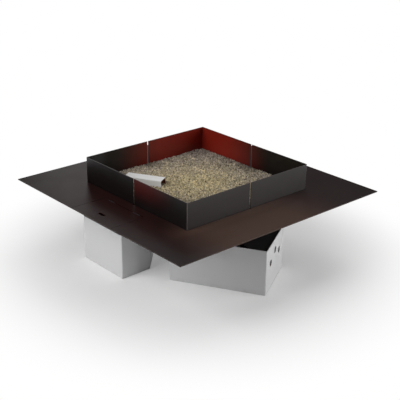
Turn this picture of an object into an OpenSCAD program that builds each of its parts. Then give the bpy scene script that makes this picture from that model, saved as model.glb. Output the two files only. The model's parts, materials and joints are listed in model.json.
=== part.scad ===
// Outdoor gas fire pit table: a square steel top on three leg boxes set in a star,
// a slotted wind guard round a bed of crushed stone on a slotted grate, a six-arm burner
// with its pilot, and a control compartment under a hinged lid.
// Millimetres. Origin on the ground under the middle of the top, +Z up, lid towards -Y.

/* [Table top] */
// Width and depth of the square top
top_w = 1200; // [1180:5:1300]
// Thickness of the top sheet
top_t = 4; // [3:0.5:6]
// Height of the top's upper face above the ground
top_h = 355; // [352:1:400]
// Width of the square opening that the burner pan hangs in
opening_w = 540; // [538:1:552]

/* [Wind guard] */
// Outside width of the square guard
guard_w = 730; // [724:1:740]
// Height of the guard above the top
guard_h = 122; // [100:1:160]
// Thickness of the guard sheet
guard_t = 3; // [2:0.5:4]
// Width of the slot in the middle of each side
guard_slot = 7; // [4:0.5:12]
// Width of the foot flange that is turned inwards
guard_flange = 20; // [18:1:24]
// Outside radius of the vertical bends
guard_bend = 5; // [4.5:0.5:8]
// Length of the drain slot in the top below each guard slot
drain_l = 16; // [10:1:20]

/* [Access lid] */
// Width of the lid
lid_w = 288; // [280:1:300]
// Distance from the outer edge of the top to the hinge axis
lid_l = 180; // [172:1:184]
// Gap on each side of the lid
lid_gap = 1.5; // [1:0.25:3]
// Length of the finger slot
finger_l = 40; // [30:1:60]
// Width of the finger slot
finger_w = 16; // [12:1:24]
// Distance of the finger slot from the outer edge
finger_y = 61; // [50:1:80]

/* [Lid hinges] */
// Radius of the hinge barrel
barrel_r = 2.5; // [2:0.1:2.5]
// Radius of the hinge pin
pin_r = 1.25; // [1:0.05:1.5]
// Radial running clearance of the pin in its knuckles
pin_fit = 0.05; // [0.02:0.01:0.1]
// Depth of the hinge axis below the upper face
axis_drop = 2.6; // [2.55:0.05:3]
// Distance from the hinge axis to the sheet edge on each side
hinge_gap = 3.5; // [3.5:0.1:5]
// Thickness of a hinge leaf
leaf_t = 2; // [1.5:0.1:2.5]
// Width of a hinge leaf
leaf_w = 20; // [15:1:24]
// Length of a knuckle
knuckle_l = 16; // [10:1:20]
// Gap between two knuckles
knuckle_gap = 0.3; // [0.2:0.05:0.5]
// Distance between the middles of the two hinges
hinge_spread = 180; // [120:1:200]

/* [Control compartment] */
// Width of the tray
tray_w = 266; // [262:1:276]
// Distance from the outer edge of the top to the tray's front wall
tray_front = 56; // [50:1:60]
// Length of the tray from front to back
tray_l = 156; // [152:1:164]
// Depth of the tray's floor below the upper face of the top
tray_depth = 51; // [50:1:60]
// Thickness of the tray sheet
tray_t = 2; // [1.5:0.25:2.5]
// Width of the tray's flange
tray_flange = 32; // [28:1:34]
// Width of the tray's back flange, which has no studs
tray_back = 7; // [5:1:14]
// Thickness of the rubber gasket on the flange
gasket_t = 1; // [0.8:0.1:2]
// Depth of the control panel's face below the upper face of the top
panel_drop = 20; // [19:0.5:22]
// Thickness of the control panel
panel_t = 2; // [1.5:0.25:2.5]
// Distance of the knob and of the igniter from the middle of the panel
control_x = 60; // [55:1:75]
// Distance of the knob and the igniter from the outer edge of the top
control_y = 110; // [104:1:116]

/* [Gas valve and knob] */
// Radius of the knob
knob_r = 22; // [18:1:26]
// Height of the knob
knob_h = 13; // [10:0.5:13]
// Number of grip flutes round the knob
knob_flutes = 18; // [12:1:24]
// Radius of the valve stem
stem_r = 4; // [3:0.25:5]
// Width of the valve body
valve_w = 60; // [56:1:70]
// Depth of the valve body
valve_d = 36; // [30:1:40]
// Height of the valve body
valve_b = 21; // [20:0.5:22]

/* [Igniter] */
// Radius of the igniter barrel
igniter_r = 11; // [10.5:0.5:14]
// Radius of the push button
button_r = 7; // [5:0.5:8]
// Height of the button above its bezel at rest
button_rise = 5.5; // [4.5:0.5:6]
// Travel of the button
button_travel = 4; // [2:0.5:4]
// Radial running clearance of moving controls
control_fit = 0.05; // [0.03:0.01:0.1]
// Radius of the button spring's wire
spring_wire = 0.6; // [0.4:0.1:0.8]
// Number of turns of the button spring
spring_turns = 5; // [4:1:7]

/* [Burner housing] */
// Width of the square housing under the top
housing_w = 640; // [636:1:650]
// Distance from the face of the top to the underside of the housing, which rests on the legs
housing_drop = 137; // [137:1:150]
// Thickness of the housing sheet
housing_t = 2.5; // [2:0.5:4]
// Width of the flange turned in under the top
housing_flange = 25; // [22:1:28]

/* [Burner pan] */
// Gap between the pan and the edge of the opening
pan_gap = 2; // [1:0.5:3]
// Thickness of the pan sheet
pan_t = 2; // [1.5:0.5:3]
// Depth of the pan below the upper face of the top
pan_depth = 55; // [54:1:60]
// Width of the pan's rim on the top
pan_rim = 22; // [15:1:26]

/* [Burner] */
// Number of burner arms
arms = 6; // [3:1:6]
// Length of an arm from the middle
arm_l = 215; // [190:1:225]
// Radius of an arm
arm_r = 9; // [8:0.5:10]
// Radius of the hub
hub_r = 35; // [28:1:40]
// Height of the hub
hub_h = 24; // [22:1:26]
// Radius of a gas port
port_r = 1.5; // [1:0.25:2]
// Gas ports on one arm
ports = 5; // [3:1:6]
// Radius of the injector body
injector_r = 9; // [8:0.5:11]

/* [Grate] */
// Thickness of the grate
grate_t = 4; // [3:0.5:5]
// Depth of the grate's upper face below the top's upper face
grate_drop = 17; // [15:0.5:18]
// Gap between the grate and the pan wall
grate_gap = 4; // [2:0.5:8]
// Width of a grate slot
slot_w = 6; // [5:0.5:8]
// Distance from one grate slot to the next
slot_pitch = 20; // [16:1:26]

/* [Stone bed] */
// Height of the bed of stones above the top
bed_rise = 7; // [6:0.5:12]
// Size of the stones
stone = 12; // [8:1:16]

/* [Pilot] */
// Length of the pilot cover
cover_l = 186; // [170:1:190]
// Width of the pilot cover
cover_w = 58; // [50:1:64]
// Height of the pilot cover above the top
cover_rise = 36; // [32:1:45]
// Thickness of the cover sheet
cover_t = 2; // [1:0.5:3]
// Angle of the pilot cover, along the leg on the right
cover_turn = 30; // [25:1:35]
// Distance of the cover's middle from the burner's middle along its length
cover_x = 230; // [228:1:236]
// Distance of the cover's middle to the side of the burner arm
cover_y = 68; // [60:1:70]

/* [Legs] */
// Length of the long side of a leg box
leg_l = 450; // [430:1:470]
// Length of the short side of a leg box
leg_short = 160; // [150:1:180]
// Width of a leg box
leg_w = 300; // [285:1:305]
// Distance from the middle of the table to a leg's end wall
leg_reach = 434; // [425:1:450]
// Distance of the short side from the radial line of the leg
leg_side = 6; // [4:1:12]
// Thickness of the leg sheet
leg_t = 3; // [2:0.5:4]
// Outside radius of the bends at the leg's outer end
leg_bend = 5; // [4.5:0.5:8]
// Gap between a leg box and the ground
glide_gap = 1.5; // [1:0.5:3]
// Radius of a rubber glide
glide_r = 15; // [10:1:20]

/* [Service ports] */
// Radius of the three ports in the right leg's end wall
service_r = 16; // [12:1:20]
// Distance between neighbouring ports across the wall
service_pitch = 74; // [60:1:80]
// Distance of the two lower ports below the top of the leg box
service_drop = 90; // [80:1:106]
// Rise of the middle port over the lower ones
service_rise = 33; // [25:1:40]

/* [Gas lines] */
// Radius of the supply and burner lines
line_r = 5; // [4:0.5:6]
// Radius of the pilot line
pilot_r = 3; // [2:0.25:3]
// Bend radius of the lines
line_bend = 15; // [14:1:16]
// Wall of the rubber grommets round the lines
grommet_t = 3; // [2:0.5:4]

/* [Fasteners] */
// Radius of the leg bolts
bolt_r = 4; // [3:0.5:5]
// Radius of the studs and of the guard screws
stud_r = 2.5; // [2:0.5:3]
// Clearance of bolts and studs in their holes
hole_gap = 0.3; // [0.2:0.1:0.5]

/* [Hidden] */
$fn = 48;
eps = 0.01;
seat = 0.3;                       // gap left between soft or loose pieces and what they lie on
over = 1;                         // how far a cutting tool runs past what it cuts

steel_dark = "#2b2120";
steel_black = "#161616";
paint_grey = "#bfc0c2";
zinc = "#9aa0a4";
brass = "#b58d3c";
rubber = "#232323";
steel_white = "#e9e9e6";

leg_turns = [270, 30, 150];         // directions of the front, right and left leg
top_under = top_h - top_t;
leg_h = top_h - housing_drop;
service_z = leg_h - service_drop;
half_top = top_w / 2;
half_guard = guard_w / 2;
half_opening = opening_w / 2;
half_housing = housing_w / 2;
half_pan = half_opening - pan_gap;
housing_floor = leg_h + housing_t;
pan_floor = top_h - pan_depth + pan_t;
grate_top = top_h - grate_drop;
hinge_y = -half_top + lid_l;
hinge_z = top_h - axis_drop;
bed_h = top_h + bed_rise;
flange_top = top_under - gasket_t;
tray_y0 = -half_top + tray_front;
tray_y1 = tray_y0 + tray_l;
tray_floor = top_h - tray_depth + tray_t;
panel_top = top_h - panel_drop;
panel_under = panel_top - panel_t;
control_at = -half_top + control_y;
arm_z = pan_floor + 16;
arm_step = 360 / arms;

// ---------- shared shapes ----------

// Straight round bar from point a to point b
module bar(a, b, r) {
    d = b - a;
    translate(a) rotate([0, acos(d.z / norm(d)), atan2(d.y, d.x)]) cylinder(h = norm(d), r = r);
}

// Quarter bend at corner p between directions d1 and d2
module elbow(p, d1, d2, bend, r) {
    z = cross(-d2, d1);
    c = p - d1 * bend + d2 * bend;
    multmatrix([[-d2.x, d1.x, z.x, c.x], [-d2.y, d1.y, z.y, c.y], [-d2.z, d1.z, z.z, c.z], [0, 0, 0, 1]])
        rotate_extrude(angle = 90) translate([bend, 0]) circle(r);
}

// Bent tube through the corner points, every corner a right angle
module bent_line(points, bend, r) {
    last = len(points) - 1;
    for (i = [0 : last - 1]) {
        d = (points[i + 1] - points[i]) / norm(points[i + 1] - points[i]);
        bar(points[i] + d * (i > 0 ? bend : 0), points[i + 1] - d * (i < last - 1 ? bend : 0), r);
        if (i > 0) {
            before = (points[i] - points[i - 1]) / norm(points[i] - points[i - 1]);
            elbow(points[i], before, d, bend, r);
        }
    }
}

// Round-ended slot, lying along X and centred
module slot_2d(l, w) {
    square([l - w, w], center = true);
    for (s = [-1, 1]) translate([s * (l - w) / 2, 0]) circle(d = w);
}

// Corner of bent sheet: two arms of length a and thickness t with an outside bend radius r
module bent_corner_2d(a, t, r) {
    translate([r, 0]) square([a - r, t]);
    translate([0, r]) square([t, a - r]);
    intersection() {
        translate([r, r]) difference() { circle(r); circle(r - t); }
        square(r);
    }
}

// Upside-down trough of bent sheet: width w centred on X, from y = 0 up to h
module trough_2d(w, h, t, r) {
    for (s = [0, 1]) mirror([s, 0]) {
        translate([w / 2 - t, 0]) square([t, h - r]);
        translate([-eps, h - t]) square([w / 2 - r + eps, t]);
        intersection() {
            translate([w / 2 - r, h - r]) difference() { circle(r); circle(r - t); }
            translate([w / 2 - r, h - r]) square(r);
        }
    }
}

module at_four(d) { for (x = [-d, d], y = [-d, d]) translate([x, y]) children(); }
module quarter_turns() { for (a = [0 : 90 : 270]) rotate(a) children(); }
module hex_nut(r, h) { difference() { cylinder(h = h, r = r * 1.75, $fn = 6); bore(r, h); } }
module bore(r, h) { translate([0, 0, -over]) cylinder(h = h + 2 * over, r = r); }

// ---------- where things are fixed ----------

guard_screw_in = half_guard - guard_t - guard_flange / 2;
guard_screw_x = [0.16, 0.8] * half_guard;
module at_guard_screws() {
    quarter_turns() for (x = guard_screw_x) translate([x, -guard_screw_in]) children();
}
housing_stud_in = half_housing - housing_t - housing_flange / 2;
module at_housing_studs() {
    quarter_turns() for (s = [-1, 1]) translate([s * 0.625 * half_housing, -housing_stud_in]) children();
}
tray_stud_x = tray_w / 2 + tray_flange * 0.7;
module at_tray_studs() {
    end = 0.625 * tray_flange;
    for (x = [-tray_stud_x, tray_stud_x], y = [tray_y0 + end, tray_y1 - end]) translate([x, y]) children();
}

// ---------- table top and wind guard ----------

module table_top() {
    color(steel_dark) translate([0, 0, top_under]) difference() {
        linear_extrude(top_t) difference() {
            square(top_w, center = true);
            square(opening_w, center = true);
            translate([-lid_w / 2 - lid_gap, -half_top - over])
                square([lid_w + 2 * lid_gap, lid_l + hinge_gap + over]);
            quarter_turns() translate([0, -half_guard + guard_t / 2])
                square([guard_slot, drain_l], center = true);
        }
        at_guard_screws() bore(stud_r + hole_gap, top_t);
    }
}

// One L-shaped corner panel; its corner is at -X, -Y
module guard_panel() {
    arm = half_guard - guard_slot / 2;
    head = stud_r * 2;
    color(steel_dark) translate([0, 0, top_h]) difference() {
        translate([-half_guard, -half_guard]) {
            linear_extrude(guard_h) bent_corner_2d(arm, guard_t, guard_bend);
            linear_extrude(guard_t) {
                translate([guard_bend, 0]) square([arm - guard_bend, guard_t + guard_flange]);
                translate([0, guard_bend]) square([guard_t + guard_flange, arm - guard_bend]);
            }
        }
        translate([0, 0, -over]) at_guard_screws() cylinder(h = guard_t + 2 * over, r = stud_r + hole_gap);
        at_guard_screws() translate([0, 0, guard_t - stud_r])
            cylinder(h = stud_r + eps, r1 = stud_r, r2 = head + eps);
    }
}
module guard_front_left() { guard_panel(); }
module guard_front_right() { rotate(90) guard_panel(); }
module guard_rear_right() { rotate(180) guard_panel(); }
module guard_rear_left() { rotate(270) guard_panel(); }

module guard_screws() {
    color(zinc) at_guard_screws() {
        translate([0, 0, top_under - 7]) cylinder(h = top_t + guard_t + 7 - stud_r, r = stud_r);
        translate([0, 0, top_h + guard_t - stud_r]) cylinder(h = stud_r, r1 = stud_r, r2 = stud_r * 2);
    }
}
module guard_nuts() {
    color(zinc) at_guard_screws() translate([0, 0, top_under - 4.5]) hex_nut(stud_r, 4.5);
}

// ---------- lid and hinges ----------

module access_lid() {
    color(steel_dark) translate([0, -half_top, top_under]) linear_extrude(top_t) difference() {
        translate([-lid_w / 2, 0]) square([lid_w, lid_l - hinge_gap]);
        translate([0, finger_y]) slot_2d(finger_l, finger_w);
    }
}

// Three knuckles on the hinge axis; the outer two belong to the fixed leaf
module at_hinges() { for (s = [-1, 1]) translate([s * hinge_spread / 2, hinge_y, hinge_z]) children(); }
module knuckle(x, side) {
    leaf_top = top_under - hinge_z;
    translate([x, 0, 0]) difference() {
        union() {
            rotate([0, 90, 0]) cylinder(h = knuckle_l, r = barrel_r, center = true);
            translate([-knuckle_l / 2, side > 0 ? 0 : -barrel_r - 1, leaf_top - leaf_t])
                cube([knuckle_l, barrel_r + 1, leaf_t]);
        }
        rotate([0, 90, 0]) cylinder(h = knuckle_l + 2 * over, r = pin_r + pin_fit, center = true);
    }
}
module hinge_leaf(side) {
    step = knuckle_l + knuckle_gap;
    leaf_top = top_under - hinge_z;
    for (x = side > 0 ? [-step, step] : [0]) knuckle(x, side);
    translate([-step - knuckle_l / 2, side > 0 ? barrel_r + 1 - eps : -barrel_r - 1 - leaf_w + eps, leaf_top - leaf_t])
        cube([2 * step + knuckle_l, leaf_w, leaf_t]);
}
module hinge_lid_leaves() { color(zinc) at_hinges() hinge_leaf(-1); }
module hinge_fixed_leaves() { color(zinc) at_hinges() hinge_leaf(1); }
module hinge_pins() {
    l = 3 * knuckle_l + 2 * knuckle_gap;
    color(zinc) at_hinges() rotate([0, 90, 0]) cylinder(h = l, r = pin_r, center = true);
}

// ---------- control compartment ----------

module tray_frame_2d(inside) {
    difference() {
        translate([-tray_w / 2 - tray_flange, tray_y0]) square([tray_w + 2 * tray_flange, tray_l + tray_back]);
        translate([-tray_w / 2 + inside, tray_y0 - over])
            square([tray_w - 2 * inside, tray_l + over - inside]);
    }
}
module control_tray() {
    color(steel_black) difference() {
        union() {
            translate([-tray_w / 2, tray_y0, tray_floor - tray_t])
                cube([tray_w, tray_l, flange_top - tray_floor + tray_t]);
            translate([0, 0, flange_top - tray_t]) linear_extrude(tray_t) tray_frame_2d(0);
        }
        translate([-tray_w / 2 + tray_t, tray_y0 + tray_t, tray_floor])
            cube([tray_w - 2 * tray_t, tray_l - 2 * tray_t, tray_depth]);
        translate([0, 0, flange_top - tray_t]) at_tray_studs() bore(stud_r + hole_gap, tray_t);
        for (p = line_holes) translate([p.x, tray_y1 - tray_t, p.y]) rotate([-90, 0, 0])
            bore(p.z + grommet_t / 2, tray_t);
    }
}
module tray_gasket() {
    color(rubber) translate([0, 0, flange_top]) difference() {
        linear_extrude(gasket_t - seat / 2) tray_frame_2d(0);
        at_tray_studs() bore(stud_r + hole_gap, gasket_t);
    }
}
module tray_studs() {
    color(zinc) at_tray_studs() translate([0, 0, flange_top - tray_t - 6])
        cylinder(h = tray_t + gasket_t + 6, r = stud_r);
}
module tray_nuts() {
    color(zinc) at_tray_studs() translate([0, 0, flange_top - tray_t - 4.5]) hex_nut(stud_r, 4.5);
}

module control_panel() {
    w = tray_w - 2 * tray_t - 2 * seat;
    y0 = tray_y0 + tray_t + seat;
    l = control_y + 54 - tray_front;
    color("#3a3d40") difference() {
        translate([-w / 2, y0, tray_floor]) cube([w, l, panel_top - tray_floor]);
        translate([-w / 2 + panel_t, y0 - over, tray_floor - over])
            cube([w - 2 * panel_t, l + 2 * over, panel_under - tray_floor + over]);
        translate([-control_x, control_at, panel_under]) bore(stem_r * 1.5, panel_t);
        translate([control_x, control_at, panel_under]) bore(igniter_r, panel_t);
    }
}

valve_top = panel_under - 4;
valve_back = control_at + valve_d / 2 + 4;
module gas_valve() {
    color(brass) difference() {
        union() {
            translate([-control_x - valve_w / 2, valve_back - valve_d, valve_top - valve_b])
                cube([valve_w, valve_d, valve_b]);
            translate([-control_x, control_at, valve_top - eps])
                cylinder(h = panel_under - valve_top + eps, r = stem_r * 3);
            for (p = [line_holes[0], line_holes[1], line_holes[2]])
                translate([p.x, valve_back - eps, p.y]) rotate([-90, 0, 0])
                    cylinder(h = 10, r = p.z + 2.5, $fn = 6);
        }
        translate([-control_x, control_at, valve_top - 10]) cylinder(h = 20, r = stem_r + control_fit);
    }
}
module valve_stem() {
    color(zinc) translate([-control_x, control_at, valve_top - 10 + seat])
        cylinder(h = panel_top - valve_top + 10 + knob_h * 0.7, r = stem_r);
}
knob_grip = knob_r * 0.86;
knob_skirt = 3;
knob_bevel = 2;
flute_r = 2.2;
module control_knob() {
    color(steel_black) translate([-control_x, control_at, panel_top + seat]) difference() {
        rotate_extrude() polygon([[0, 0], [knob_r, 0], [knob_r, knob_skirt], [knob_grip, knob_skirt],
            [knob_grip, knob_h - knob_bevel], [knob_grip - knob_bevel, knob_h], [0, knob_h]]);
        for (i = [0 : knob_flutes - 1]) rotate((i + 0.5) * 360 / knob_flutes)
            translate([knob_grip + flute_r / 2, 0, knob_skirt + 1]) cylinder(h = knob_h, r = flute_r);
        translate([-0.75, -knob_grip * 0.9, knob_h - 0.8]) cube([1.5, knob_grip * 0.6, 2]);
        translate([0, 0, -over]) cylinder(h = knob_h * 0.7 + over, r = stem_r);
    }
}

bezel_t = 2.5;
bezel_top = panel_top + bezel_t;
shoulder = 1.5;
shoulder_z = panel_top - 4.8;
cup_floor = tray_floor + 8;
module igniter_barrel() {
    color(steel_black) translate([control_x, control_at]) difference() {
        union() {
            translate([0, 0, cup_floor - 4]) cylinder(h = panel_top - cup_floor + 4, r = igniter_r);
            translate([0, 0, panel_top]) cylinder(h = bezel_t, r = igniter_r + 4);
        }
        translate([0, 0, cup_floor]) cylinder(h = shoulder_z - cup_floor, r = button_r + shoulder + control_fit);
        translate([0, 0, cup_floor]) cylinder(h = panel_top, r = button_r + control_fit);
    }
}
button_foot = shoulder_z - seat - 3;
module igniter_button() {
    rim = 1.5;
    color("#8c1c16") translate([control_x, control_at]) {
        translate([0, 0, button_foot]) cylinder(h = 3, r = button_r + shoulder - 0.1);
        translate([0, 0, button_foot + 3 - eps])
            cylinder(h = bezel_top + button_rise - rim - button_foot - 3 + eps, r = button_r);
        translate([0, 0, bezel_top + button_rise - rim]) rotate_extrude() {
            square([button_r - rim, rim]);
            intersection() {
                translate([button_r - rim, 0]) circle(rim);
                translate([button_r - rim, 0]) square(rim);
            }
        }
    }
}

// Ring of points round the wire at angle a of the helix
function coil_ring(a, r, h, wire, n) = [for (k = [0 : n - 1])
    let (q = r + wire * cos(360 * k / n)) [q * cos(a), q * sin(a), h + wire * sin(360 * k / n)]];
module igniter_spring() {
    n = 6;
    steps = 14;
    r = button_r - 2;
    z0 = cup_floor + spring_wire;
    rise = button_foot - cup_floor - 2 * spring_wire;
    total = spring_turns * steps;
    rings = [for (i = [0 : total]) each coil_ring(i * 360 / steps, r, z0 + rise * i / total, spring_wire, n)];
    sides = [for (i = [0 : total - 1], k = [0 : n - 1])
        [i * n + k, (i + 1) * n + k, (i + 1) * n + (k + 1) % n, i * n + (k + 1) % n]];
    ends = [[for (k = [0 : n - 1]) k], [for (k = [n - 1 : -1 : 0]) total * n + k]];
    color(zinc) translate([control_x, control_at]) polyhedron(rings, concat(sides, ends));
}

// ---------- burner housing and pan ----------

vent_r = 6;
vent_pitch = 36;
module burner_housing() {
    wall_h = top_under - leg_h;
    color(steel_black) difference() {
        translate([-half_housing, -half_housing, leg_h]) cube([housing_w, housing_w, wall_h]);
        translate([-half_housing + housing_t, -half_housing + housing_t, housing_floor])
            cube([housing_w - 2 * housing_t, housing_w - 2 * housing_t, wall_h - 2 * housing_t]);
        lip = housing_t + housing_flange;
        translate([-half_housing + lip, -half_housing + lip, housing_floor])
            cube([housing_w - 2 * lip, housing_w - 2 * lip, wall_h]);
        translate([0, 0, top_under - housing_t]) at_housing_studs() bore(stud_r + hole_gap, housing_t);
        translate([0, 0, leg_h]) at_legs() at_leg_bolts() bore(bolt_r + hole_gap, housing_t);
        for (i = [-1 : 1], j = [-1 : 1]) translate([i * vent_pitch, j * vent_pitch, leg_h]) bore(vent_r, housing_t);
        for (p = line_holes) translate([p.x, -half_housing, p.y]) rotate([-90, 0, 0])
            bore(p.z + grommet_t / 2, housing_t);
        translate([riser.x, riser.y, leg_h]) bore(line_r + grommet_t / 2, housing_t);
    }
}
module housing_studs() {
    color(zinc) at_housing_studs() translate([0, 0, top_under - housing_t - 6]) cylinder(h = housing_t + 6, r = stud_r);
}
module housing_nuts() {
    color(zinc) at_housing_studs() translate([0, 0, top_under - housing_t - 4.5]) hex_nut(stud_r, 4.5);
}

module burner_pan() {
    color(zinc) difference() {
        union() {
            translate([-half_pan, -half_pan, pan_floor - pan_t]) cube([2 * half_pan, 2 * half_pan, pan_depth + pan_t]);
            translate([0, 0, top_h]) linear_extrude(pan_t) square(2 * (half_opening + pan_rim - pan_gap), center = true);
        }
        translate([-half_pan + pan_t, -half_pan + pan_t, pan_floor])
            cube([2 * (half_pan - pan_t), 2 * (half_pan - pan_t), pan_depth + 2 * pan_t]);
        translate([0, 0, pan_floor - pan_t]) bore(injector_r, pan_t);
        translate([pilot_at.x, pilot_at.y, pan_floor - pan_t]) bore(pilot_r + 1, pan_t);
        at_four(half_pan * 0.6) translate([0, 0, pan_floor - pan_t]) bore(vent_r, pan_t);
    }
}

// ---------- burner ----------

module at_arms() { for (i = [0 : arms - 1]) rotate(cover_turn + i * arm_step) children(); }
module burner_hub() {
    color(zinc) translate([0, 0, arm_z - hub_h / 2]) difference() {
        rotate_extrude() {
            square([hub_r, hub_h - 3]);
            square([hub_r - 3, hub_h]);
            translate([hub_r - 3, hub_h - 3]) circle(3);
        }
        for (i = [0 : 5]) rotate(i * 60) translate([hub_r * 0.6, 0, hub_h / 2]) cylinder(h = hub_h, r = port_r);
    }
}
module burner_arms() {
    color(zinc) at_arms() difference() {
        union() {
            translate([hub_r, 0, arm_z]) rotate([0, 90, 0]) cylinder(h = arm_l - hub_r, r = arm_r);
            translate([arm_l - 3, 0, arm_z]) rotate([0, 90, 0]) cylinder(h = 6, r = arm_r + 1.5);
        }
        translate([hub_r - over, 0, arm_z]) rotate([0, 90, 0]) cylinder(h = arm_l - hub_r - 2, r = arm_r - 1.5);
        for (k = [1 : ports]) translate([hub_r + k * (arm_l - hub_r) / (ports + 1), 0, arm_z])
            cylinder(h = arm_r + over, r = port_r);
    }
}
saddle_l = 10;
module burner_saddles() {
    color(zinc) at_arms() translate([arm_l * 0.8, 0, 0]) difference() {
        translate([-saddle_l / 2, -arm_r - 4, pan_floor]) cube([saddle_l, 2 * arm_r + 8, arm_z - pan_floor - 3]);
        translate([0, 0, arm_z]) rotate([0, 90, 0]) cylinder(h = saddle_l + 2 * over, r = arm_r, center = true);
    }
}
injector_foot = pan_floor - 20;
module injector() {
    color(brass) difference() {
        union() {
            translate([0, 0, injector_foot]) cylinder(h = arm_z - hub_h / 2 - injector_foot, r = injector_r);
            translate([0, 0, injector_foot + 3]) cylinder(h = 7, r = injector_r + 3, $fn = 6);
        }
        for (a = [0, 90]) rotate(a) translate([0, 0, pan_floor - 4.5]) rotate([0, 90, 0])
            cylinder(h = 3 * injector_r, r = 1.5, center = true);
    }
}

// ---------- gas lines ----------

// Lines through the back of the tray and the front of the housing: x, height, radius
line_z = valve_top - valve_b / 2;
line_holes = [[-control_x - valve_w / 3.4, line_z, line_r],
              [-control_x + valve_w / 3.4, line_z, line_r],
              [-control_x, line_z - 3, pilot_r]];
drop_y = -half_housing + housing_t + 26;
run_z = top_h - 93;
function on_leg(p, turn) = [p.x * cos(turn) - p.y * sin(turn), p.x * sin(turn) + p.y * cos(turn)];
leg_mid = -leg_side - leg_w / 2;
service_y = leg_mid - service_pitch;
plate_depth = 22;                 // room between the end wall and the back of the port plate
fitting_nut = 14;                 // length of the fitting's nut behind the port plate
plate_x = leg_reach - leg_t - plate_depth;
fitting_back = plate_x - fitting_nut;
riser_in = 284;                   // how far the riser stands in from the leg's end
riser_x = leg_reach - riser_in;
riser = on_leg([riser_x, service_y], leg_turns[1]);
joint_z = housing_floor + 2;
pilot_at = on_leg([-cover_x + 30, -cover_y], cover_turn);

module burner_line() {
    p = line_holes[0];
    color("#b87348") bent_line([[p.x, valve_back + 10, p.y], [p.x, drop_y, p.y], [p.x, drop_y, run_z],
                                [p.x, 0, run_z], [0, 0, run_z], [0, 0, injector_foot]], line_bend, line_r);
}
module supply_line() {
    p = line_holes[1];
    low = run_z - 17;
    color("#b87348") bent_line([[riser.x, riser.y, joint_z], [riser.x, riser.y, low], [p.x, riser.y, low],
                                [p.x, drop_y, low], [p.x, drop_y, p.y],
                                [p.x, valve_back + 10, p.y]], line_bend, line_r);
}
module inlet_riser() {
    color("#b87348") rotate(leg_turns[1]) bent_line([[fitting_back, service_y, service_z],
        [riser_x, service_y, service_z], [riser_x, service_y, joint_z]], line_bend, line_r);
}
module pilot_line() {
    p = line_holes[2];
    y = drop_y + 10;
    low = run_z + 16;
    color("#b87348") bent_line([[p.x, valve_back + 10, p.y], [p.x, y, p.y], [p.x, y, low],
                                [pilot_at.x, y, low], [pilot_at.x, pilot_at.y, low],
                                [pilot_at.x, pilot_at.y, pilot_foot]], line_bend * 0.6, pilot_r);
}

// Grommet with a groove for a sheet of thickness t, hole radius r
module grommet(r, t) {
    rotate_extrude() {
        translate([r, -1.5]) square([grommet_t / 2, t + 3]);
        for (z = [-1.5, t]) translate([r, z]) square([grommet_t, 1.5]);
    }
}
module line_grommets() {
    color(rubber) {
        for (p = line_holes) {
            translate([p.x, tray_y1 - tray_t, p.y]) rotate([-90, 0, 0]) grommet(p.z, tray_t);
            translate([p.x, -half_housing, p.y]) rotate([-90, 0, 0]) grommet(p.z, housing_t);
        }
        translate([riser.x, riser.y, leg_h]) grommet(line_r, housing_t);
    }
}

// ---------- grate and stones ----------

half_grate = half_pan - pan_t - grate_gap;
pilot_cut = [76, 40];
module in_cover() { rotate(cover_turn) translate([-cover_x, -cover_y]) children(); }
module media_grate() {
    rows = 4;
    columns = floor((2 * half_grate - 30) / slot_pitch);
    row_l = (2 * half_grate - 20) / rows;
    color(steel_black) {
        translate([0, 0, grate_top - grate_t]) linear_extrude(grate_t) difference() {
            square(2 * half_grate, center = true);
            for (i = [0 : columns - 1], j = [0 : rows - 1])
                translate([(i - (columns - 1) / 2) * slot_pitch, (j - (rows - 1) / 2) * row_l])
                    rotate(90) slot_2d(row_l - 14, slot_w);
            in_cover() translate([30, 0]) square(pilot_cut, center = true);
        }
        at_four(half_grate - 8) translate([0, 0, pan_floor]) cylinder(h = grate_top - grate_t - pan_floor, r = 5);
    }
}

// A flat layer of crushed stones as one faceted sheet, its peaks and hollows about a stone apart
stone_peak = 0.5;                 // highest peak over the deepest hollow, in stones
stone_sink = 0.15;                // deepest hollow under the bed's level, in stones
stone_drift = 0.5;                // how far a peak strays from an even grid, in steps
module stone_layer(half, low) {
    last = 2 * floor(half / stone) - 1;
    count = last + 1;
    step = 2 * half / last;
    pick = rands(0, 1, 3 * count * count, 7);
    function stray(i, p) = -half + (i + (i > 0 && i < last ? stone_drift * (p - 0.5) : 0)) * step;
    peaks = [for (i = [0 : last], j = [0 : last]) let (k = 3 * (i * count + j))
        [stray(i, pick[k]), stray(j, pick[k + 1]), bed_h + stone * (stone_peak * pick[k + 2] - stone_sink)]];
    corners = [for (c = [[-1, -1], [-1, 1], [1, 1], [1, -1]]) [c.x * half, c.y * half, low]];
    base = count * count;
    facets = [for (i = [0 : last - 1], j = [0 : last - 1]) let (k = i * count + j, n = k + count)
        each ((i + j) % 2 == 0 ? [[k, k + 1, n + 1], [k, n + 1, n]] : [[k, k + 1, n], [k + 1, n + 1, n]])];
    sides = [[for (j = [last : -1 : 0]) j, base, base + 1],
             [for (i = [last : -1 : 0]) i * count + last, base + 1, base + 2],
             [for (j = [0 : last]) last * count + j, base + 2, base + 3],
             [for (i = [0 : last]) i * count, base + 3, base]];
    polyhedron(concat(peaks, corners), concat(facets, sides, [[base + 3, base + 2, base + 1, base]]), convexity = 10);
}
module stone_bed() {
    inner = half_pan - pan_t - seat;
    low = top_h + guard_t + seat;
    color("#9c8f7c") difference() {
        union() {
            translate([-inner, -inner, grate_top]) cube([2 * inner, 2 * inner, low + eps - grate_top]);
            stone_layer(half_guard - guard_t - 2 * seat, low);
        }
        in_cover() translate([-cover_l / 2 - seat, -cover_w / 2 - seat, grate_top - over])
            cube([cover_l + 2 * seat, cover_w + 2 * seat, cover_rise + grate_drop + 3 * over]);
    }
}

// ---------- pilot ----------

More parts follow.
